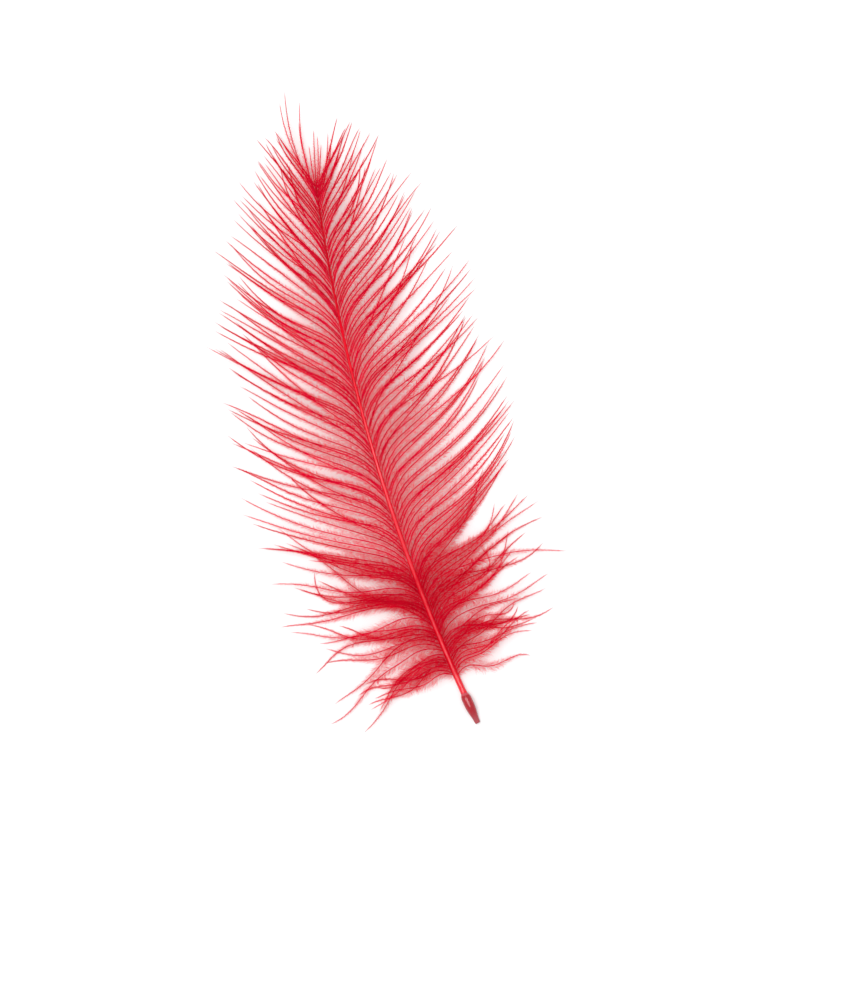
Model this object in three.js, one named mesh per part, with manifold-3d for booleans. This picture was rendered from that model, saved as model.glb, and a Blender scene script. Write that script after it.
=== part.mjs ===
// A dyed cul de canard feather lying on a flat surface, in millimetres, with +Z up.
// The quill's cut end points to -Y and the tip to +Y. The origin is the middle of the feather's footprint,
// on the surface. The feather grew as one piece, so its quill, shaft, down and barbs are one closed solid.
// The barbs are drawn together in locks, each as wide and as long as the barbs that cling together in it.
import * as THREE from "three";
import { mergeVertices } from "three/addons/utils/BufferGeometryUtils.js";
import Module from "manifold-3d";

const { clamp, degToRad, lerp, smoothstep } = THREE.MathUtils;

// The shaft, from the cut end of the quill to where it splits into its last barbs.
const shaftLength = 48.5;
const shaftBow = 1.9; // how far its middle lies left of the straight line between its ends
const archHeight = 2.4; // how far its middle rises over the surface
const tipRise = 1.1; // and its upper end
const quillEnd = new THREE.Vector2(1.26, -28.03); // the cut end, from the middle of the footprint

// Radii of the shaft. The quill is widest in its hollow stretch and pinched at its cut end.
const quillLength = 2.8;
const quillRadius = 0.43;
const pinchRadius = 0.22;
const shaftRadius = 0.3; // just above the quill
const shaftTipRadius = 0.085;
const shaftSides = 8;
const shaftSteps = 34;

// Shares of the shaft's length, from the cut end.
const restShare = 0.075; // the quill lies on the surface this far
const archShare = 0.5; // the shaft is highest here
const downStart = 0.09;
const vaneStart = 0.27;
const vaneEnd = 0.985;
const longestShare = 0.42; // the longest barbs leave the shaft here

// Barb lengths at the bottom of the down, at their longest and just below the tip.
const lowestLength = 8.6;
const longestLength = 16.2;
const topLength = 6.4;

// Degrees between a lock and the shaft where it leaves it and where it has spread, and how far it closes
// again. Locks spread less and less towards the tip, at first slowly.
const leftVane = { side: -1, root: 24, spreadLow: 56, spreadHigh: 24, fading: 1.7, closing: 13 };
const rightVane = { side: 1, root: 28, spreadLow: 67, spreadHigh: 30, fading: 2.1, closing: 15 };
const down = { root: 48, spread: 98, closing: 2, wave: 17 };
const vaneLocks = 24; // on each side
const downLocks = 6;

// The last barbs, which go on past the end of the shaft: angle to it, turn on the way, length, end height.
const lastLocks = [
  { angle: -24, turn: 26, length: 8.4, rise: 0.5 },
  { angle: 3, turn: 3, length: 5.4, rise: 0.2 },
  { angle: 22, turn: -14, length: 6.3, rise: 0.35 },
];
const lastWidth = 0.6;

// Each lock has a flat six-sided section.
const lockSides = 6;
const lockSteps = 8;
const lockThickness = 0.52;
const lastThickness = 0.36;
const widthShare = 0.84; // of the room between a lock and the next
const lockEndShare = 0.12; // a lock's width just before its end, against its widest
const taperStart = 0.4; // share of its length where it starts to taper
const lockLift = 0.75; // how far a lock rises on its way down to the surface
const landing = 0.66; // share of its length where it touches down
const endRises = [0, 0.5, 0, 0.22]; // how far the ends of neighbouring locks stay over the surface
const unevenLength = 0.045; // locks are this much longer and shorter by turns, as a share
const unevenAngle = 1.6; // and lie this many degrees off

const wasm = await Module();
wasm.setup();

function shaftPoint(share) {
  const rise = archHeight * smoothstep(share, restShare, archShare);
  const fall = (archHeight - tipRise) * smoothstep(share, archShare, 1);
  return new THREE.Vector3(
    quillEnd.x - shaftBow * 4 * share * (1 - share),
    quillEnd.y + shaftLength * share,
    shaftRadiusAt(share) * Math.cos(Math.PI / shaftSides) + rise - fall,
  );
}

// Headings are angles in plan, from +Y towards +X.
function shaftHeading(share) {
  return Math.atan2(-shaftBow * 4 * (1 - 2 * share), shaftLength);
}

function shaftRadiusAt(share) {
  const along = share * shaftLength;
  if (along > quillLength) return lerp(shaftTipRadius, shaftRadius, Math.pow(1 - share, 1.35));
  const swell = smoothstep(along, 0, 0.4 * quillLength);
  const waist = smoothstep(along, 0.7 * quillLength, quillLength);
  return lerp(pinchRadius, quillRadius, swell) - (quillRadius - shaftRadius) * waist;
}

function lockLength(share) {
  if (share > longestShare) {
    const past = (share - longestShare) / (1 - longestShare);
    return lerp(longestLength, topLength, past * past);
  }
  const before = (longestShare - share) / (longestShare - downStart);
  return lerp(longestLength, lowestLength, before * before);
}

// How a lock that leaves the shaft at this share lies against it. Down gives way to vane little by little.
function lockAngles(vane, share) {
  const up = clamp((share - vaneStart) / (1 - vaneStart), 0, 1);
  const fluff = 1 - smoothstep(share, downStart, vaneStart + 0.05);
  const spread = lerp(vane.spreadLow, vane.spreadHigh, Math.pow(up, vane.fading));
  return {
    root: lerp(vane.root * (1 - 0.5 * up), down.root, fluff),
    spread: lerp(spread, down.spread, fluff),
    closing: lerp(vane.closing * (1 - 0.5 * up), down.closing, fluff),
    wave: down.wave * fluff,
  };
}

// Where a path gets to after a share of its length.
function travel(start, length, heading, v) {
  const steps = 40;
  const place = start.clone();
  for (let i = 0; i < steps; i++) {
    const turn = heading(((i + 0.5) / steps) * v);
    place.x += ((v * length) / steps) * Math.sin(turn);
    place.y += ((v * length) / steps) * Math.cos(turn);
  }
  return place;
}

// A lock is a spindle with closed ends, bent along its path, with more sections near the shaft.
function bentSpindle({ start, length, heading, height, halfWidth, halfThickness }) {
  const profile = [new THREE.Vector2(0, 0)];
  for (let i = 1; i < lockSteps; i++) profile.push(new THREE.Vector2(1, Math.pow(i / lockSteps, 1.4)));
  profile.push(new THREE.Vector2(0, 1));
  const geometry = new THREE.LatheGeometry(profile, lockSides);
  const position = geometry.getAttribute("position");
  for (let i = 0; i < position.count; i++) {
    const v = position.getY(i);
    const place = travel(start, length, heading, v);
    const across = position.getZ(i) * halfWidth(v);
    const x = place.x + across * Math.cos(heading(v));
    const y = place.y - across * Math.sin(heading(v));
    position.setXYZ(i, x, y, height(v) + position.getX(i) * halfThickness(v));
  }
  return solidFrom(geometry);
}

function taper(v) {
  return lerp(1, lockEndShare, Math.pow(clamp((v - taperStart) / (1 - taperStart), 0, 1), 1.4));
}

// Half the height of a six-sided section that lies on its flat side, for a half thickness of 1.
const flatSide = Math.sin(Math.PI / 3);

function lock(vane, share, spacing, number) {
  const start = shaftPoint(share);
  const along = shaftHeading(share);
  const angles = lockAngles(vane, share);
  const uneven = Math.sin(2.4 * number + vane.side);
  const fromShaft = (v) => {
    const opened = lerp(angles.root, angles.spread, smoothstep(v, 0, 0.3));
    const wave = angles.wave * Math.sin(2 * Math.PI * (1.2 * v + 0.37 * number)) * smoothstep(v, 0.1, 0.4);
    return degToRad(opened - angles.closing * smoothstep(v, 0.35, 1) + wave + unevenAngle * uneven * v);
  };
  const halfThickness = (v) => 0.5 * lockThickness * taper(v) * lerp(1, 0.62, share);
  const endRise = endRises[(number + (vane.side > 0 ? 1 : 0)) % endRises.length];
  return bentSpindle({
    start,
    length: lockLength(share) * (1 + unevenLength * uneven),
    heading: (v) => along + vane.side * fromShaft(v),
    height: (v) => {
      const way = smoothstep(v, 0.05, landing);
      const lift = lockLift * Math.sin(Math.PI * Math.min(1, v / landing)) * (1 - 0.4 * share);
      return lerp(start.z, halfThickness(v) * flatSide + endRise, way) + lift * (1 - way);
    },
    halfWidth: (v) => 0.5 * widthShare * spacing * Math.min(1, Math.sin(fromShaft(v))) * taper(v),
    halfThickness,
  });
}

function lastLock({ angle, turn, length, rise }) {
  const start = shaftPoint(vaneEnd);
  const halfThickness = (v) => 0.5 * lastThickness * taper(v);
  return bentSpindle({
    start,
    length,
    heading: (v) => shaftHeading(1) + degToRad(angle + turn * v),
    height: (v) => lerp(start.z, halfThickness(v) * flatSide + rise, smoothstep(v, 0, 1)),
    halfWidth: (v) => 0.5 * lastWidth * lerp(0.5, 1, smoothstep(v, 0, 0.3)) * taper(v),
    halfThickness,
  });
}

function shaft() {
  const profile = [new THREE.Vector2(0, 0)];
  for (let i = 0; i <= shaftSteps; i++) {
    const share = Math.pow(i / shaftSteps, 1.45); // sections are closer together along the quill
    profile.push(new THREE.Vector2(shaftRadiusAt(share), share));
  }
  profile.push(new THREE.Vector2(0, 1));
  const geometry = new THREE.LatheGeometry(profile, shaftSides, Math.PI / shaftSides);
  const position = geometry.getAttribute("position");
  for (let i = 0; i < position.count; i++) {
    const share = position.getY(i);
    const place = shaftPoint(share);
    const x = place.x + position.getX(i) * Math.cos(shaftHeading(share));
    const y = place.y - position.getX(i) * Math.sin(shaftHeading(share));
    position.setXYZ(i, x, y, place.z + position.getZ(i));
  }
  return solidFrom(geometry);
}

// A solid for joining. Bending can turn a geometry's faces inwards, and they are turned out again here.
function solidFrom(geometry) {
  geometry.deleteAttribute("normal");
  geometry.deleteAttribute("uv");
  const merged = mergeVertices(geometry, 1e-4);
  const vertProperties = merged.getAttribute("position").array;
  const corners = merged.getIndex().array;
  const triVerts = [];
  for (let i = 0; i < corners.length; i += 3) {
    const [a, b, c] = corners.slice(i, i + 3);
    if (a !== b && b !== c && c !== a) triVerts.push(a, b, c);
  }
  const solid = (triangles) =>
    new wasm.Manifold(new wasm.Mesh({ numProp: 3, vertProperties, triVerts: new Uint32Array(triangles) }));
  const made = solid(triVerts);
  return made.volume() > 0 ? made : solid(triVerts.reverse());
}

function geometryFrom(solid) {
  const mesh = solid.getMesh();
  const geometry = new THREE.BufferGeometry();
  geometry.setAttribute("position", new THREE.BufferAttribute(mesh.vertProperties, mesh.numProp));
  geometry.setIndex(new THREE.BufferAttribute(mesh.triVerts, 1));
  geometry.computeVertexNormals();
  return geometry;
}

// All locks of one side between two shares of the shaft. The two sides leave it by turns.
function lockRow(vane, from, to, count) {
  const spacing = ((to - from) * shaftLength) / count;
  const offset = vane.side > 0 ? 0.6 : 0.1;
  const shareOf = (i) => lerp(from, to, (i + offset) / count);
  return Array.from({ length: count }, (_, i) => lock(vane, shareOf(i), spacing, i));
}

let grown = shaft();
for (const vane of [leftVane, rightVane]) {
  for (const piece of lockRow(vane, downStart, vaneStart, downLocks)) grown = grown.add(piece);
  for (const piece of lockRow(vane, vaneStart, vaneEnd, vaneLocks)) grown = grown.add(piece);
}
for (const last of lastLocks) grown = grown.add(lastLock(last));

const dyedKeratin = new THREE.MeshStandardMaterial({ color: "#b4061f", roughness: 0.5, metalness: 0 });
const feather = new THREE.Mesh(geometryFrom(grown), dyedKeratin);
feather.name = "feather";

const part = new THREE.Group();
part.add(feather);

export default part;
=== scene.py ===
# A dyed cul de canard feather on a pale floor, seen from straight above
import math

import bmesh
import bpy
import numpy as np
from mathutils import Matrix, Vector


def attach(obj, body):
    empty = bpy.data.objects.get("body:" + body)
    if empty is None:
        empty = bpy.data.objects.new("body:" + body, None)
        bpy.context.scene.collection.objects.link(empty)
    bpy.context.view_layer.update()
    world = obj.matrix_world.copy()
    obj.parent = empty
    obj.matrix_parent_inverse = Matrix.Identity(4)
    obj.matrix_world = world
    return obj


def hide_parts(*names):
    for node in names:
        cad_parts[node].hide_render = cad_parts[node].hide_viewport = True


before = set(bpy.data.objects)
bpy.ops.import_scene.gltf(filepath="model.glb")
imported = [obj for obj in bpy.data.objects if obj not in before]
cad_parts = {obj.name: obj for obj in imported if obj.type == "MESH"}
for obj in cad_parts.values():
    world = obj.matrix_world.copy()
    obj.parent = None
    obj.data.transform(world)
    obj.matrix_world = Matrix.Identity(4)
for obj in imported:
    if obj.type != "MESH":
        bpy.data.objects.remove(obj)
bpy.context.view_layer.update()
mm = 0.001

# The shaft lies on the curve that the solid follows. Shares are of its length, from the cut end.
shaftLine = {
    "length": 48.5 * mm,
    "bow": 1.9 * mm,
    "arch": 2.4 * mm,
    "tipRise": 1.1 * mm,
    "endX": 1.26 * mm,
    "endY": -28.03 * mm,
    "restShare": 0.075,
    "archShare": 0.5,
    "quill": 2.8 * mm,
    "radii": {"cut": 0.23, "quill": 0.43, "low": 0.285, "tip": 0.08},  # in millimetres
}


def smooth(x, low, high):
    t = np.clip((x - low) / (high - low), 0, 1)
    return t * t * (3 - 2 * t)


def mix(a, b, t):
    return a + (b - a) * t


def shaftRadius(share):
    along = share * shaftLine["length"]
    quill = shaftLine["quill"]
    radii = shaftLine["radii"]
    upper = mix(radii["tip"], radii["low"], np.clip(1 - share, 0, 1) ** 1.35) * mm
    upper = upper * (1 - 0.7 * smooth(share, 0.93, 1))
    swell = mix(radii["cut"], radii["quill"], smooth(along, 0, 0.62 * quill)) * mm
    return mix(swell, upper, smooth(along, 0.84 * quill, 1.04 * quill))


def shaftPlace(share):
    rise = shaftLine["arch"] * smooth(share, shaftLine["restShare"], shaftLine["archShare"])
    fall = (shaftLine["arch"] - shaftLine["tipRise"]) * smooth(share, shaftLine["archShare"], 1)
    x = shaftLine["endX"] - 4 * shaftLine["bow"] * share * (1 - share)
    y = shaftLine["endY"] + shaftLine["length"] * share
    return np.stack([x, y, shaftRadius(share) + rise - fall], -1)


# Headings are angles in plan, from +Y towards +X
def shaftHeading(share):
    return np.arctan2(-4 * shaftLine["bow"] * (1 - 2 * share), shaftLine["length"])


# A socket that carries a number, so that shader maths reads as plain expressions
class Signal:
    def __init__(self, finish, socket):
        self.finish = finish
        self.socket = socket

    def maths(self, operation, left, right):
        return self.finish.node("ShaderNodeMath", {"operation": operation}, {0: left, 1: right})

    def __add__(self, other):
        return self.maths("ADD", self, other)

    def __sub__(self, other):
        return self.maths("SUBTRACT", self, other)

    def __rsub__(self, other):
        return self.maths("SUBTRACT", other, self)

    def __mul__(self, other):
        return self.maths("MULTIPLY", self, other)

    __radd__ = __add__
    __rmul__ = __mul__


# One material and the nodes that make it
class Finish:
    def __init__(self, name, fixed):
        self.material = bpy.data.materials.new(name)
        self.material.use_nodes = True
        self.tree = self.material.node_tree
        self.shader = self.tree.nodes["Principled BSDF"]
        for socket, value in fixed.items():
            self.shader.inputs[socket].default_value = value

    def put(self, socket, value):
        if isinstance(value, Signal):
            self.tree.links.new(value.socket, socket)
        else:
            socket.default_value = value

    def node(self, kind, settings, values, output=0):
        made = self.tree.nodes.new(kind)
        for name, value in settings.items():
            setattr(made, name, value)
        for socket, value in values.items():
            self.put(made.inputs[socket], value)
        return Signal(self, made.outputs[output])

    def between(self, value, low, high):
        values = {"Value": value, "From Min": low, "From Max": high}
        return self.node("ShaderNodeMapRange", {"interpolation_type": "SMOOTHSTEP"}, values)

    def blend(self, factor, first, second):
        return self.node("ShaderNodeMix", {"data_type": "RGBA"}, {0: factor, 6: first, 7: second}, 2)

    # Thin keratin lets light through, so a share of it is sent on and comes out tinted
    def letThrough(self, share, tint):
        through = self.node("ShaderNodeBsdfTranslucent", {}, {"Color": tint})
        surface = Signal(self, self.shader.outputs[0])
        mixed = self.node("ShaderNodeMixShader", {}, {0: share, 1: surface, 2: through})
        self.put(self.tree.nodes["Material Output"].inputs["Surface"], mixed)

    def wear(self, **sockets):
        for socket, value in sockets.items():
            self.put(self.shader.inputs[socket.replace("_", " ")], value)
        return self.material


def colour(r, g, b):
    return (r, g, b, 1)


# Every strand's map has its barb's length across and one row per barb upwards
def fibreFinish(name, rows, look):
    finish = Finish(name, {"Specular IOR Level": look["shine"]})
    place = finish.node("ShaderNodeUVMap", {"uv_map": "OFBake"}, {})
    along = finish.node("ShaderNodeSeparateXYZ", {}, {0: place}, 0)
    upwards = finish.node("ShaderNodeSeparateXYZ", {}, {0: place}, 1) * rows
    row = finish.node("ShaderNodeMath", {"operation": "FLOOR"}, {0: upwards})
    outward = finish.between(upwards - row, 0.16, 0.9)  # from the core out to the barbules' ends
    tone = finish.node("ShaderNodeTexWhiteNoise", {"noise_dimensions": "1D"}, {"W": row})
    patch = {"Vector": place, "Scale": 23, "Detail": 2}
    patches = finish.node("ShaderNodeTexNoise", {"noise_dimensions": "2D"}, patch)
    shade = (tone - 0.5) * 0.5 + (patches - 0.5) * 0.9 + 0.5
    core = finish.blend(finish.between(along, 0.03, 0.7), look["root"], look["core"])
    fibre = finish.blend(outward, core, look["barbule"])
    final = finish.blend(shade, fibre, look["pale"])
    gain = look["through"] - look["coreThrough"]
    finish.letThrough(outward * gain + look["coreThrough"], look["tint"])
    return finish.wear(Base_Color=final, Roughness=outward * 0.18 + look["roughness"])


# Closed strands: each path has a pole at both ends and a ring of sides at every other station.
# Maps give each station's place on the map, and spread how far its ring opens there.
def strands(paths, radii, flatness, sides, maps, spread):
    count, stations = paths.shape[:2]
    middle = paths[:, 1:-1]
    ahead = paths[:, 2:] - paths[:, :-2]
    ahead /= np.linalg.norm(ahead, axis=-1, keepdims=True)
    across = np.cross(ahead, (0.02, 0.05, 1.0))  # a little off upright, so no strand runs along it
    across /= np.linalg.norm(across, axis=-1, keepdims=True)
    above = np.cross(across, ahead)
    turn = 2 * math.pi * (np.arange(sides) + 0.25) / sides
    above = above * flatness
    rim = across[:, :, None] * np.cos(turn)[:, None] + above[:, :, None] * np.sin(turn)[:, None]
    rim = rim * radii[:, :, None, None]
    rings = (middle[:, :, None] + rim).reshape(count, -1, 3)
    points = np.concatenate([paths[:, :1], rings, paths[:, -1:]], 1)
    fold = np.abs(2 * np.arange(sides) / sides - 1)  # there and back round the ring
    opened = maps[:, 1:-1, None] + (fold[:, None] - 0.5) * spread
    opened = opened.reshape(count, -1, 2)
    onMap = np.concatenate([maps[:, :1], opened, maps[:, -1:]], 1)
    corner = np.arange(sides)
    following = (corner + 1) % sides
    last = 1 + sides * (stations - 2)
    faces = [np.stack([0 * corner, 1 + following, 1 + corner], 1)]
    for ring in range(stations - 3):
        here = 1 + ring * sides
        there = here + sides
        faces.append(np.stack([here + corner, here + following, there + following], 1))
        faces.append(np.stack([here + corner, there + following, there + corner], 1))
    end = last - sides
    faces.append(np.stack([end + corner, end + following, 0 * corner + last], 1))
    single = np.concatenate(faces)
    every = (single[None] + (np.arange(count) * (last + 1))[:, None, None]).reshape(-1, 3)
    return points.reshape(-1, 3), every, onMap.reshape(-1, 2)


def joined(groups):
    points, faces, onMap, start = [], [], [], 0
    for groupPoints, groupFaces, groupMap in groups:
        points.append(groupPoints)
        faces.append(groupFaces + start)
        onMap.append(groupMap)
        start += len(groupPoints)
    return np.concatenate(points), np.concatenate(faces), np.concatenate(onMap)


def pieceFrom(name, groups, material):
    points, faces, onMap = joined(groups)
    mesh = bpy.data.meshes.new(name)
    mesh.vertices.add(len(points))
    mesh.vertices.foreach_set("co", points.astype(np.float32).ravel())
    mesh.loops.add(faces.size)
    mesh.loops.foreach_set("vertex_index", faces.astype(np.int32).ravel())
    mesh.polygons.add(len(faces))
    mesh.polygons.foreach_set("loop_start", np.arange(0, faces.size, 3, dtype=np.int32))
    mesh.update(calc_edges=True)
    barbMap = mesh.uv_layers.new(name="OFBake")
    barbMap.uv.foreach_set("vector", onMap[faces.ravel()].astype(np.float32).ravel())
    coreFaces = len(groups[0][1])
    mesh.polygons.foreach_set("use_smooth", np.arange(len(faces)) < coreFaces)  # barbules stay flat
    mesh.materials.append(material)
    piece = bpy.data.objects.new(name, mesh)
    bpy.context.scene.collection.objects.link(piece)
    settle(piece)
    print(name, len(faces), "triangles")


def settle(piece):
    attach(piece, "root")
    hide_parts("feather")


# How barbs lie, as the solid's locks do. Angles are in degrees from the shaft.
lay = {
    "downStart": 0.09,
    "downLocks": 6,
    "vaneStart": 0.27,
    "vaneEnd": 0.985,
    "vaneLocks": 24,
    "lowerLocks": 11,  # of the vane's, in its lower piece
    "longestShare": 0.42,  # the longest barbs leave the shaft here
    "lowest": 8.6 * mm,
    "longest": 16.2 * mm,
    "top": 6.4 * mm,
    "left": {
        "side": -1,
        "offset": 0.1,  # where its first lock leaves, as a share of the room for one
        "root": 24,
        "spreadLow": 56,
        "spreadHigh": 24,
        "fading": 1.7,
        "closing": 13,
    },
    "right": {
        "side": 1,
        "offset": 0.6,
        "root": 28,
        "spreadLow": 67,
        "spreadHigh": 30,
        "fading": 2.1,
        "closing": 15,
    },
    "down": {"root": 48, "spread": 98, "closing": 2, "wave": 17},
    "thickness": 0.52 * mm,
    "lift": 0.75 * mm,  # how far a lock rises on its way down to the floor
    "landing": 0.66,  # share of its length where it touches down
    "endRises": np.array([0, 0.5, 0, 0.22]) * mm,  # the ends of neighbouring locks over the floor
    "unevenLength": 0.045,
    "unevenAngle": 1.6,
    "unevenRoom": 0.2,  # barbs leave early or late by this share of the least room
    "unevenLock": 0.45,  # and lie this share of a lock off its middle
    "unevenDepth": 0.8,
}


def lockLength(share):
    past = np.clip((share - lay["longestShare"]) / (1 - lay["longestShare"]), 0, 1)
    before = np.clip((lay["longestShare"] - share) / (lay["longestShare"] - lay["downStart"]), 0, 1)
    return mix(mix(lay["longest"], lay["top"], past**2), lay["lowest"], before**2)


# Where barbs run: one row of stations each, from the shaft out. Turns, curves and sways are what each barb
# adds to its lock's heading, in degrees.
def barbPaths(vane, shares, locks, lengths, turns, curves, sways, phases, stations):
    v = np.linspace(0, 1, stations)
    share = shares[:, None]
    lock = locks[:, None]
    up = np.clip((share - lay["vaneStart"]) / (1 - lay["vaneStart"]), 0, 1)
    fluff = 1 - smooth(share, lay["downStart"], lay["vaneStart"] + 0.05)
    down = lay["down"]
    vaneSpread = mix(vane["spreadLow"], vane["spreadHigh"], up ** vane["fading"])
    spread = mix(vaneSpread, down["spread"], fluff)
    root = mix(vane["root"] * (1 - 0.15 * up), down["root"], fluff)
    closing = mix(vane["closing"] * (1 - 0.5 * up), down["closing"], fluff)
    uneven = np.sin(2.4 * lock + vane["side"])

    def headings(t):
        opened = mix(root, spread, smooth(t, 0, 0.3)) - closing * smooth(t, 0.35, 1)
        phase = 2 * math.pi * (1.2 * t + 0.37 * lock)
        wave = down["wave"] * fluff * np.sin(phase) * smooth(t, 0.1, 0.4)
        own = turns[:, None] * smooth(t, -0.25, 0.5) + curves[:, None] * (1 - 2 * t) * smooth(t, 0.05, 0.5)
        own = own + sways[:, None] * np.sin(2 * math.pi * (1.3 * t + phases[:, None])) * t
        fromShaft = opened + wave + lay["unevenAngle"] * uneven * t + own
        return shaftHeading(share) + vane["side"] * np.radians(fromShaft)

    length = lengths[:, None] * (1 + lay["unevenLength"] * uneven)
    step = length / (stations - 1)
    between = headings((v[1:] + v[:-1])[None] / 2)
    start = shaftPlace(shares)
    x = np.cumsum(step * np.sin(between), 1)
    y = np.cumsum(step * np.cos(between), 1)
    zero = np.zeros((len(shares), 1))
    paths = np.zeros((len(shares), stations, 3))
    paths[:, :, 0] = start[:, :1] + np.concatenate([zero, x], 1)
    paths[:, :, 1] = start[:, 1:2] + np.concatenate([zero, y], 1)
    way = smooth(v, 0.05, lay["landing"])[None]
    number = np.round(locks).astype(int) + (1 if vane["side"] > 0 else 0)
    endRise = lay["endRises"][number % 4][:, None]
    lift = lay["lift"] * np.sin(math.pi * np.minimum(1, v / lay["landing"]))[None] * (1 - 0.4 * share)
    lying = lockThickness(v[None], share) * math.sin(math.pi / 3) + endRise
    paths[:, :, 2] = mix(start[:, 2:], lying, way) + lift * (1 - way)
    return paths


# Half the thickness of a lock, which thins towards its end. Locks near the feather's tip are thinner.
def lockThickness(v, share):
    thinning = np.clip((v - 0.4) / 0.6, 0, 1) ** 1.4
    return 0.5 * lay["thickness"] * mix(1, 0.12, thinning) * mix(1, 0.62, share)


# Reads evenly spaced stations at any share of their way
def along(values, rows, v):
    at = np.clip(v, 0, 1) * (values.shape[1] - 1)
    low = np.minimum(at.astype(int), values.shape[1] - 2)
    part = (at - low)[..., None]
    return values[rows, low] * (1 - part) + values[rows, low + 1] * part


# What all barbules share
barbule = {
    "sides": 3,
    "place": (0.1, 0.9),  # in the room that each has along the barb
    "grown": 0.22,  # share of the barb where they have reached their full length
    "uneven": (0.6, 1.15),
    "clear": (1, 4),  # radii that they stay over the floor
    "thick": (0.75, 1.2),
    "onMap": (0.2, 0.92),  # from its root to its end, across the barb's row
    "opened": (0.008, 0.02),  # and how far its rings open there
}
# What all cores share
core = {"flatness": 0.9, "onMap": 0.08, "opened": 0.1}


# Barbules stand on both sides of their barb, lean towards its end and bend further that way
def barbules(rng, paths, rowNumbers, rowCount, look):
    lengths = np.linalg.norm(np.diff(paths, axis=1), axis=-1).sum(1)
    perBarb = np.maximum(np.round(lengths / mm * look["perMm"]).astype(int), 2)
    barb = np.repeat(np.arange(len(paths)), perBarb)
    first = np.repeat(np.cumsum(perBarb) - perBarb, perBarb)
    order = np.arange(len(barb)) - first + rng.uniform(*barbule["place"], len(barb))
    order = order / perBarb[barb]
    v = mix(look["from"], look["to"], order ** look["gather"])
    root = along(paths, barb, v)
    forward = along(paths, barb, v + 0.02) - along(paths, barb, v - 0.02)
    forward /= np.linalg.norm(forward, axis=-1, keepdims=True)
    side = np.cross(forward, (0.0, 0.0, 1.0))
    side /= np.linalg.norm(side, axis=-1, keepdims=True)
    above = np.cross(side, forward)
    side *= rng.choice([-1.0, 1.0], len(barb))[:, None]
    roll = rng.normal(look["roll"], look["rollSpread"], len(barb))[:, None]
    outwards = side * np.cos(roll) + above * np.sin(roll)
    lean = np.radians(rng.normal(look["lean"], look["leanSpread"], len(barb)))[:, None]
    leaving = forward * np.cos(lean) + outwards * np.sin(lean)
    fading = mix(look["atRoot"], 1, smooth(v, 0, barbule["grown"]))
    fading = fading * mix(1, look["atTip"], smooth(v, look["fullTo"], 1))
    reach = look["length"][barb] * fading * rng.uniform(*barbule["uneven"], len(barb))
    joints = look["joints"]
    path = np.zeros((len(barb), joints + 1, 3))
    path[:, 0] = root
    curl = rng.normal(0, look["curl"], (len(barb), joints, 3))
    for joint in range(joints):
        bend = look["bend"] * joint / joints
        direction = leaving + forward * bend + curl[:, joint] * (joint > 0)
        direction /= np.linalg.norm(direction, axis=-1, keepdims=True)
        path[:, joint + 1] = path[:, joint] + direction * (reach / joints)[:, None]
    clear = look["radius"] * rng.uniform(*barbule["clear"], (len(barb), 1))
    path[:, :, 2] = np.maximum(path[:, :, 2], clear)
    radii = look["radius"] * rng.uniform(*barbule["thick"], (len(barb), 1))
    maps = np.zeros((len(barb), joints + 1, 2))
    maps[:, :, 0] = np.clip(v, 0.01, 0.99)[:, None]
    outward = np.linspace(*barbule["onMap"], joints + 1)
    maps[:, :, 1] = (rowNumbers[barb][:, None] + outward) / rowCount
    openAlong, openAcross = barbule["opened"]
    opened = (openAlong, openAcross / rowCount)
    return strands(path, np.tile(radii, joints - 1), look["flatness"], barbule["sides"], maps, opened)


def barbCores(paths, rowNumbers, rowCount, sides, rootRadius, tipRadius):
    count, stations = paths.shape[:2]
    v = np.linspace(0, 1, stations)
    radii = np.tile(mix(rootRadius, tipRadius, v[1:-1] ** 2), (count, 1))
    maps = np.zeros((count, stations, 2))
    maps[:, :, 0] = mix(0.005, 0.995, v)
    maps[:, :, 1] = (rowNumbers[:, None] + core["onMap"]) / rowCount
    return strands(paths, radii, core["flatness"], sides, maps, (0.0, core["opened"] / rowCount))


# Where barbs leave the shaft, from one share of it to another. Rooms are what lies between two barbs, low
# and high on the shaft.
def barbShares(start, end, rooms):
    shares = [start]
    while shares[-1] < end:
        room = mix(*rooms, float(smooth(shares[-1], 0.3, 0.85)))
        shares.append(shares[-1] + room / shaftLine["length"])
    return np.array(shares[:-1])


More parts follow.
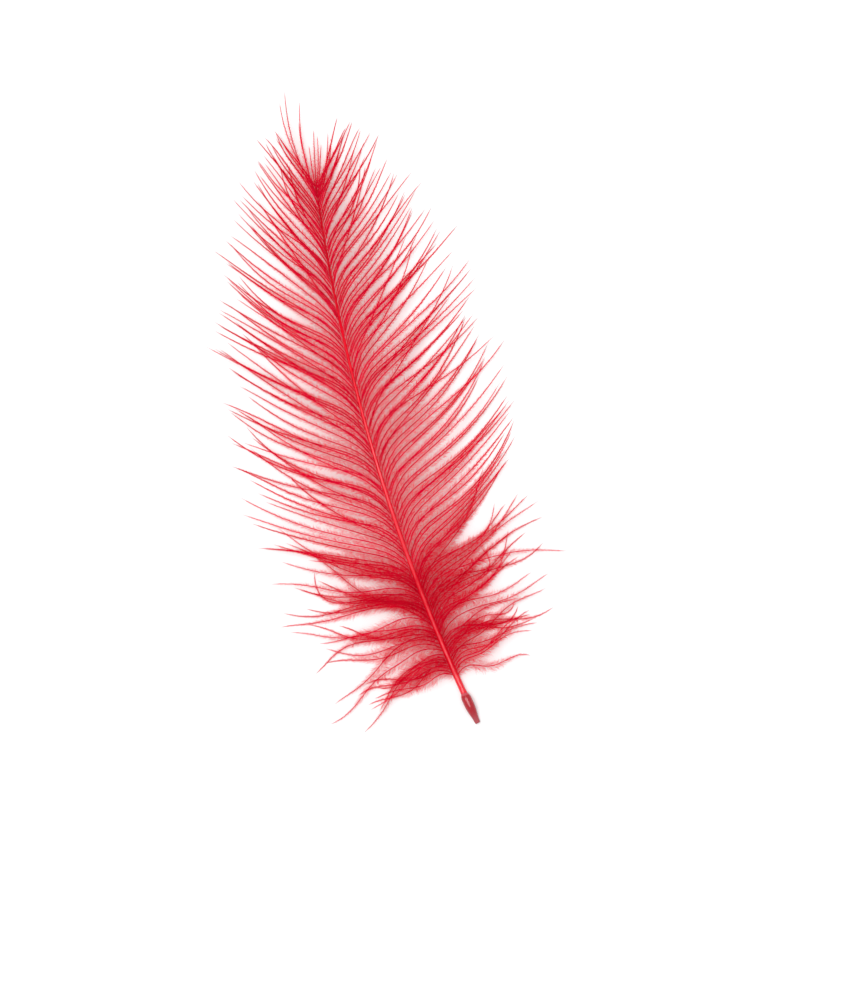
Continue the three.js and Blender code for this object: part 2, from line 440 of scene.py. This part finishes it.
# One piece of fringe: the barbs of a stretch of locks, with their barbules. Some barbs are drawn a little
# towards the middle of their lock, and strays go their own way.
def fringe(name, vane, row, stretch, look, finish, seed):
    rng = np.random.default_rng(seed)
    spacing = (row["end"] - row["start"]) / row["count"]
    offset = vane["offset"]
    start, end = (row["start"] + lockNumber * spacing for lockNumber in stretch)
    shares = barbShares(start, end, look["rooms"])
    count = len(shares)
    off = lay["unevenRoom"]
    shares = shares + rng.uniform(-off, off, count) * look["rooms"][1] / shaftLine["length"]
    lock = np.clip(np.round((shares - row["start"]) / spacing - offset), 0, row["count"] - 1)
    middle = row["start"] + (lock + offset) * spacing
    stray = rng.uniform(0, 1, count) < look["strays"]
    turns = rng.normal(0, look["turn"], count)
    turns = turns + stray * rng.choice([-1, -1, 0.6], count) * look["strayTurn"]  # mostly to the tip
    sways = rng.normal(0, look["sway"], count) * np.where(stray, look["straySway"], 1)
    phases = rng.uniform(0, 1, count)
    lengths = lockLength(shares) * rng.uniform(*look["uneven"], count)
    lengths = lengths * np.where(stray, look["strayLength"], 1)
    none = np.zeros(count)
    curves = rng.normal(0, look["curve"], count)
    off = lay["unevenLock"]
    ownLock = lock + rng.uniform(-off, off, count)
    own = barbPaths(vane, shares, ownLock, lengths, turns, curves, sways, phases, look["fine"])
    shared = barbPaths(vane, middle, lock, lockLength(middle), none, none, none, none, look["fine"])
    v = np.linspace(0, 1, look["fine"])
    clump = rng.uniform(*look["clump"], row["count"])[lock.astype(int)] * np.where(stray, 0, 1)
    pull = clump[:, None, None] * smooth(v, 0.2, 1)[None, :, None]
    paths = mix(own, shared, pull)
    off = lay["unevenDepth"]
    depth = rng.uniform(-off, off, count)[:, None] * smooth(v, 0.05, 0.3) * look["depth"]
    paths[:, :, 2] = np.maximum(paths[:, :, 2] + depth, look["rootRadius"])
    rows = np.arange(count)
    at = np.linspace(0, 1, look["stations"])
    coarse = along(paths, rows[:, None], np.tile(at, (count, 1)))
    cores = barbCores(coarse, rows, count, look["sides"], look["rootRadius"], look["tipRadius"])
    barbuleLook = dict(look["barbules"])
    barbuleLook["length"] = mix(barbuleLook["low"], barbuleLook["high"], smooth(shares, 0.1, 0.95))
    barbuleLook["perMm"] = mix(*barbuleLook["perMm"], smooth(shares, 0.6, 1))
    fine = barbules(rng, paths, rows, count, barbuleLook)
    material = fibreFinish(name + "_fibre", count, finish)
    pieceFrom(name, [cores, fine], material)


# Angles are in degrees, and barbules' lengths are those low and high on the shaft
vaneLook = {
    "rooms": (0.48 * mm, 0.39 * mm),  # between two barbs, low and high on the shaft
    "strays": 0.12,  # share of the barbs
    "strayTurn": 12,
    "strayLength": 1.02,
    "straySway": 1.6,
    "uneven": (0.82, 1.03),  # a barb's length against its lock's
    "turn": 4.8,
    "curve": 6.5,
    "sway": 3,
    "clump": (0.0, 0.16),  # how far barbs are drawn to the middle of their lock
    "depth": 0.25 * mm,  # how far they lie over and under it
    "fine": 49,  # stations of a barb that its barbules stand on
    "stations": 17,  # and of its mesh
    "sides": 5,
    "rootRadius": 0.057 * mm,
    "tipRadius": 0.023 * mm,
    "slot": "vane",
    "barbules": {
        "perMm": (50, 36),
        "low": 0.74 * mm,
        "high": 0.37 * mm,
        "radius": 0.0104 * mm,
        "flatness": 0.5,
        "gather": 1.25,  # over 1, there are more of them near the shaft
        "from": 0.005,  # shares of the barb
        "to": 0.955,
        "atRoot": 0.5,  # their length at the barb's root and end, against the full one
        "fullTo": 0.25,
        "atTip": 0.13,
        "lean": 49,  # from the barb
        "leanSpread": 10,
        "roll": 0.1,  # radians from flat
        "rollSpread": 0.45,
        "bend": 0.35,
        "curl": 0.1,
        "joints": 2,
    },
}
vaneFinish = {
    "root": colour(0.52, 0.001, 0.014),
    "core": colour(0.66, 0.002, 0.025),
    "barbule": colour(0.94, 0.004, 0.062),
    "pale": colour(0.95, 0.010, 0.085),
    "roughness": 0.36,
    "shine": 0.06,
    "through": 0.72,
    "coreThrough": 0.5,
    "tint": colour(0.98, 0.008, 0.095),
}
downLook = {
    "rooms": (0.28 * mm, 0.38 * mm),
    "strays": 0.3,
    "strayTurn": 24,
    "strayLength": 1.1,
    "straySway": 2.6,
    "uneven": (0.7, 1.08),
    "turn": 10,
    "curve": 14,
    "sway": 11,
    "clump": (0.0, 0.1),
    "depth": 0.5 * mm,
    "fine": 61,
    "stations": 25,
    "sides": 4,
    "rootRadius": 0.054 * mm,
    "tipRadius": 0.02 * mm,
    "slot": "down",
    "barbules": {
        "perMm": (68, 68),
        "low": 0.98 * mm,
        "high": 0.85 * mm,
        "radius": 0.0085 * mm,
        "flatness": 0.8,
        "gather": 1.1,
        "from": 0.01,
        "to": 0.95,
        "atRoot": 0.7,
        "fullTo": 0.22,
        "atTip": 0.1,
        "lean": 56,
        "leanSpread": 14,
        "roll": 0.2,
        "rollSpread": 0.8,
        "bend": 0.4,
        "curl": 0.22,
        "joints": 2,
    },
}
downFinish = {
    "root": colour(0.54, 0.001, 0.015),
    "core": colour(0.68, 0.003, 0.028),
    "barbule": colour(0.94, 0.006, 0.066),
    "pale": colour(0.95, 0.016, 0.09),
    "roughness": 0.42,
    "shine": 0.06,
    "through": 0.72,
    "coreThrough": 0.5,
    "tint": colour(0.98, 0.008, 0.095),
}


# These seeds leave no wide gaps between the barbs, and keep their ends near the solid's
vaneSeeds = {
    "left": {"lower": 154, "upper": 238, "down": 31},
    "right": {"lower": 84, "upper": 119, "down": 32},
}


def buildVanes():
    vaneRow = {"start": lay["vaneStart"], "end": lay["vaneEnd"], "count": lay["vaneLocks"]}
    downRow = {"start": lay["downStart"], "end": lay["vaneStart"], "count": lay["downLocks"]}
    lower = (0, lay["lowerLocks"])
    upper = (lay["lowerLocks"], lay["vaneLocks"])
    whole = (0, lay["downLocks"])
    for sideName, seeds in vaneSeeds.items():
        vane = lay[sideName]
        fringe(sideName + "_vane_lower", vane, vaneRow, lower, vaneLook, vaneFinish, seeds["lower"])
        fringe(sideName + "_vane_upper", vane, vaneRow, upper, vaneLook, vaneFinish, seeds["upper"])
        fringe(sideName + "_down", vane, downRow, whole, downLook, downFinish, seeds["down"])


# The last barbs, which go on past the end of the shaft
endBarbs = {
    "locks": [
        {"angle": -24, "turn": 29, "length": 9.95 * mm, "rise": 0.5 * mm},
        {"angle": 3, "turn": 3, "length": 5.4 * mm, "rise": 0.2 * mm},
        {"angle": 22, "turn": -14, "length": 6.3 * mm, "rise": 0.35 * mm},
    ],
    "perLock": 3,
    "fan": 8,
    "leave": (0.95, 1.0),  # shares of the shaft between which they leave it
    "shorter": (0.7, 0.9),  # the outer barbs of a lock against its middle one
    "over": 0.03 * mm,  # their ends' height over the solid's
    "apart": 0.15,  # and how far apart they lie there, in millimetres
    "rootRadius": 0.045 * mm,
    "barbuleLength": 0.36 * mm,
    "perMm": 34,
    "seed": 77,
}


def buildEndBarbs():
    rng = np.random.default_rng(endBarbs["seed"])
    stations = vaneLook["fine"]
    v = np.linspace(0, 1, stations)
    paths = []
    for lock in endBarbs["locks"]:
        for number in range(endBarbs["perLock"]):
            share = rng.uniform(*endBarbs["leave"])
            start = shaftPlace(np.array(share))
            fan = (number - 1) * endBarbs["fan"] * (1 - 0.4 * v)
            heading = shaftHeading(1.0) + np.radians(lock["angle"] + lock["turn"] * v + fan)
            length = lock["length"] * (1.0 if number == 1 else rng.uniform(*endBarbs["shorter"]))
            step = length / (stations - 1)
            path = np.zeros((stations, 3))
            path[:, 0] = start[0] + np.concatenate([[0], np.cumsum(step * np.sin(heading[1:]))])
            path[:, 1] = start[1] + np.concatenate([[0], np.cumsum(step * np.cos(heading[1:]))])
            height = mix(start[2], lock["rise"] + endBarbs["over"], smooth(v, 0, 1))
            path[:, 2] = height + rng.uniform(0, endBarbs["apart"]) * mm * v
            paths.append(path)
    paths = np.array(paths)
    rows = np.arange(len(paths))
    at = np.linspace(0, 1, vaneLook["stations"])
    coarse = along(paths, rows[:, None], np.tile(at, (len(paths), 1)))
    radii = endBarbs["rootRadius"], vaneLook["tipRadius"]
    cores = barbCores(coarse, rows, len(paths), vaneLook["sides"], *radii)
    look = dict(vaneLook["barbules"])
    look["length"] = np.full(len(paths), endBarbs["barbuleLength"])
    look["perMm"] = endBarbs["perMm"]
    fine = barbules(rng, paths, rows, len(paths), look)
    material = fibreFinish("end_barbs_fibre", len(paths), vaneFinish)
    pieceFrom("end_barbs", [cores, fine], material)


# The shaft: a horny tube with a shallow groove underneath, hollow at the quill
shaft = {
    "sides": 24,
    "sections": 150,
    "gather": 1.25,  # sections are closer together along the quill
    "groove": 0.14,  # its depth against the shaft's radius
    "grooveWidth": 0.16,
    "boreDepth": 1.3 * mm,
    "bore": [(1, 0.3), (0.6, 0.5), (0.25, 0.55)],  # share of its depth, and width against the quill's
    "rim": [(0.0008, 0.6), (0.0, 0.78), (0.0006, 0.95)],  # share of the shaft, and width
    "outside": 0.0012,  # the shaft is full width from this share on
    "pinch": 0.72,  # the cut end's height against its width
}


def ringOf(share, scale, pinch):
    radius = float(shaftRadius(np.array(share))) * scale
    place = Vector(shaftPlace(np.array(share)))
    heading = float(shaftHeading(share))
    grooved = shaft["groove"] * float(smooth(share, 0.08, 0.16))
    place.z -= float(shaftRadius(np.array(share))) * (1 - pinch)
    ring = []
    for number in range(shaft["sides"]):
        turn = 2 * math.pi * number / shaft["sides"]
        fromBelow = (turn / math.pi - 1.5 + 1) % 2 - 1
        dip = 1 - grooved * math.exp(-(fromBelow / shaft["grooveWidth"]) ** 2)
        across = radius * math.cos(turn)
        height = radius * math.sin(turn) * dip * pinch
        ring.append(place + Vector((across * math.cos(heading), -across * math.sin(heading), height)))
    return ring


def buildShaft():
    bm = bmesh.new()
    # From the bottom of the bore out to the cut, round its rim and along the shaft to its tip
    bore = shaft["boreDepth"] / shaftLine["length"]
    stations = [(bore * depth, width) for depth, width in shaft["bore"]] + shaft["rim"]
    outside = shaft["outside"]
    sections = shaft["sections"]
    for number in range(1, sections + 1):
        stations.append((outside + (1 - outside) * (number / sections) ** shaft["gather"], 1.0))
    rings = []
    for share, scale in stations:
        flat = mix(shaft["pinch"], 1.0, float(smooth(share, 0.0, 0.03)))
        rings.append([bm.verts.new(place) for place in ringOf(share, scale, flat)])
    for here, there in zip(rings, rings[1:]):
        for number in range(shaft["sides"]):
            bm.faces.new((here[number - 1], here[number], there[number], there[number - 1]))
    bm.faces.new(rings[0])
    bm.faces.new(rings[-1])
    bmesh.ops.recalc_face_normals(bm, faces=bm.faces)
    mesh = bpy.data.meshes.new("shaft")
    bm.to_mesh(mesh)
    bm.free()
    for face in mesh.polygons:
        face.use_smooth = True
    mesh.materials.append(shaftFinish())
    piece = bpy.data.objects.new("shaft", mesh)
    bpy.context.scene.collection.objects.link(piece)
    settle(piece)
    print("shaft", len(mesh.polygons), "faces")


# Stretches of the shaft are shares of its length, from the cut end
hornLook = {
    "coat": {"Specular IOR Level": 0.05, "Coat Roughness": 0.14, "Coat IOR": 1.78},
    "grain": (9000, 500, 9000),  # along the shaft it is drawn out
    "lower": colour(0.95, 0.001, 0.024),
    "upper": colour(0.66, 0.001, 0.016),
    "darkens": (0.7, 0.86),
    "quill": colour(0.42, 0.001, 0.014),
    "quillEnds": (0.052, 0.060),
    "ring": colour(0.66, 0.14, 0.18),
    "ringStarts": (0.0525, 0.0550),
    "ringEnds": (0.0565, 0.0590),
    "cut": colour(0.46, 0.09, 0.11),
    "cutEnds": (0.002, 0.026),
    "streak": colour(0.55, 0.003, 0.02),
    "through": 0.3,
    "tint": colour(0.95, 0.003, 0.03),
    "glossFades": (0.75, 0.42),
}


def shaftFinish():
    look = hornLook
    finish = Finish("dyed_horn", look["coat"])
    place = finish.node("ShaderNodeTexCoord", {}, {}, 3)
    y = finish.node("ShaderNodeSeparateXYZ", {}, {0: place}, 1)
    share = (y - shaftLine["endY"]) * (1 / shaftLine["length"])
    stretched = finish.node("ShaderNodeMapping", {}, {"Vector": place, "Scale": look["grain"]})
    fine = {"Vector": stretched, "Scale": 1, "Detail": 4, "Roughness": 0.6}
    grain = finish.node("ShaderNodeTexNoise", {}, fine)
    horn = finish.blend(finish.between(share, *look["darkens"]), look["lower"], look["upper"])
    horn = finish.blend(finish.between(share, *look["quillEnds"]), look["quill"], horn)
    ring = finish.between(share, *look["ringStarts"]) - finish.between(share, *look["ringEnds"])
    horn = finish.blend(ring * 0.85, horn, look["ring"])
    horn = finish.blend(finish.between(share, *look["cutEnds"]), look["cut"], horn)
    horn = finish.blend(finish.between(grain, 0.35, 0.75) * 0.35, horn, look["streak"])
    ridges = {"Height": grain, "Strength": 0.12, "Distance": 0.02 * mm}
    bump = finish.node("ShaderNodeBump", {}, ridges)
    finish.letThrough(look["through"], look["tint"])
    coat = finish.between(share, *look["glossFades"]) * 0.9 + 0.05
    return finish.wear(Base_Color=horn, Roughness=grain * 0.2 + 0.22, Normal=bump, Coat_Weight=coat)


# The stage: a white floor, a wide soft light from the upper left and an even white surround
stage = {
    "floor": 3.0,
    "paper": {"Base Color": colour(0.85, 0.85, 0.85), "Roughness": 0.9, "Specular IOR Level": 0.1},
    "photoScale": 0.0858 * mm,  # the feather's size in one pixel of the photograph
    "frame": (856, 1000),
    "quillPixel": (478, 723),
    "lean": 16.7,  # degrees that the feather leans left in the picture
    "distance": 0.6,
    "sensor": 24,
    "key": {"place": (-0.2, 0.1, 0.97), "across": 0.8, "along": 1.0, "power": 8.4},
    "surround": 0.66,
}


def buildStage():
    bm = bmesh.new()
    bmesh.ops.create_grid(bm, x_segments=1, y_segments=1, size=stage["floor"] / 2)
    mesh = bpy.data.meshes.new("floor")
    bm.to_mesh(mesh)
    bm.free()
    mesh.materials.append(Finish("floor_paper", stage["paper"]).material)
    floor = bpy.data.objects.new("floor", mesh)
    bpy.context.scene.collection.objects.link(floor)

    lean = math.radians(stage["lean"])
    right = Vector((math.cos(lean), -math.sin(lean), 0))
    up = Vector((math.sin(lean), math.cos(lean), 0))
    wide, high = stage["frame"]
    acrossPixels = stage["quillPixel"][0] - wide / 2
    upPixels = high / 2 - stage["quillPixel"][1]
    quill = Vector((shaftLine["endX"], shaftLine["endY"], 0))
    aim = quill - (right * acrossPixels + up * upPixels) * stage["photoScale"]

    data = bpy.data.cameras.new("camera")
    camera = bpy.data.objects.new("camera", data)
    bpy.context.scene.collection.objects.link(camera)
    camera.location = aim + Vector((0, 0, stage["distance"]))
    camera.rotation_euler = (0, 0, -lean)
    data.sensor_fit = "VERTICAL"
    data.sensor_height = stage["sensor"]
    data.lens = stage["sensor"] * stage["distance"] / (high * stage["photoScale"])
    data.clip_start = 0.01
    bpy.context.scene.camera = camera

    key = stage["key"]
    lightData = bpy.data.lights.new("key", "AREA")
    lightData.shape = "RECTANGLE"
    lightData.size = key["across"]
    lightData.size_y = key["along"]
    lightData.energy = key["power"]
    light = bpy.data.objects.new("key", lightData)
    bpy.context.scene.collection.objects.link(light)
    light.location = aim + right * key["place"][0] + up * key["place"][1] + Vector((0, 0, key["place"][2]))
    light.rotation_euler = (aim - light.location).to_track_quat("-Z", "Y").to_euler()

    world = bpy.data.worlds.new("surround")
    world.use_nodes = True
    backdrop = world.node_tree.nodes["Background"]
    backdrop.inputs["Color"].default_value = colour(1, 1, 1)
    backdrop.inputs["Strength"].default_value = stage["surround"]
    bpy.context.scene.world = world
    bpy.context.scene.view_settings.view_transform = "Standard"


buildStage()
print("stage ready")
buildShaft()
buildVanes()
buildEndBarbs()
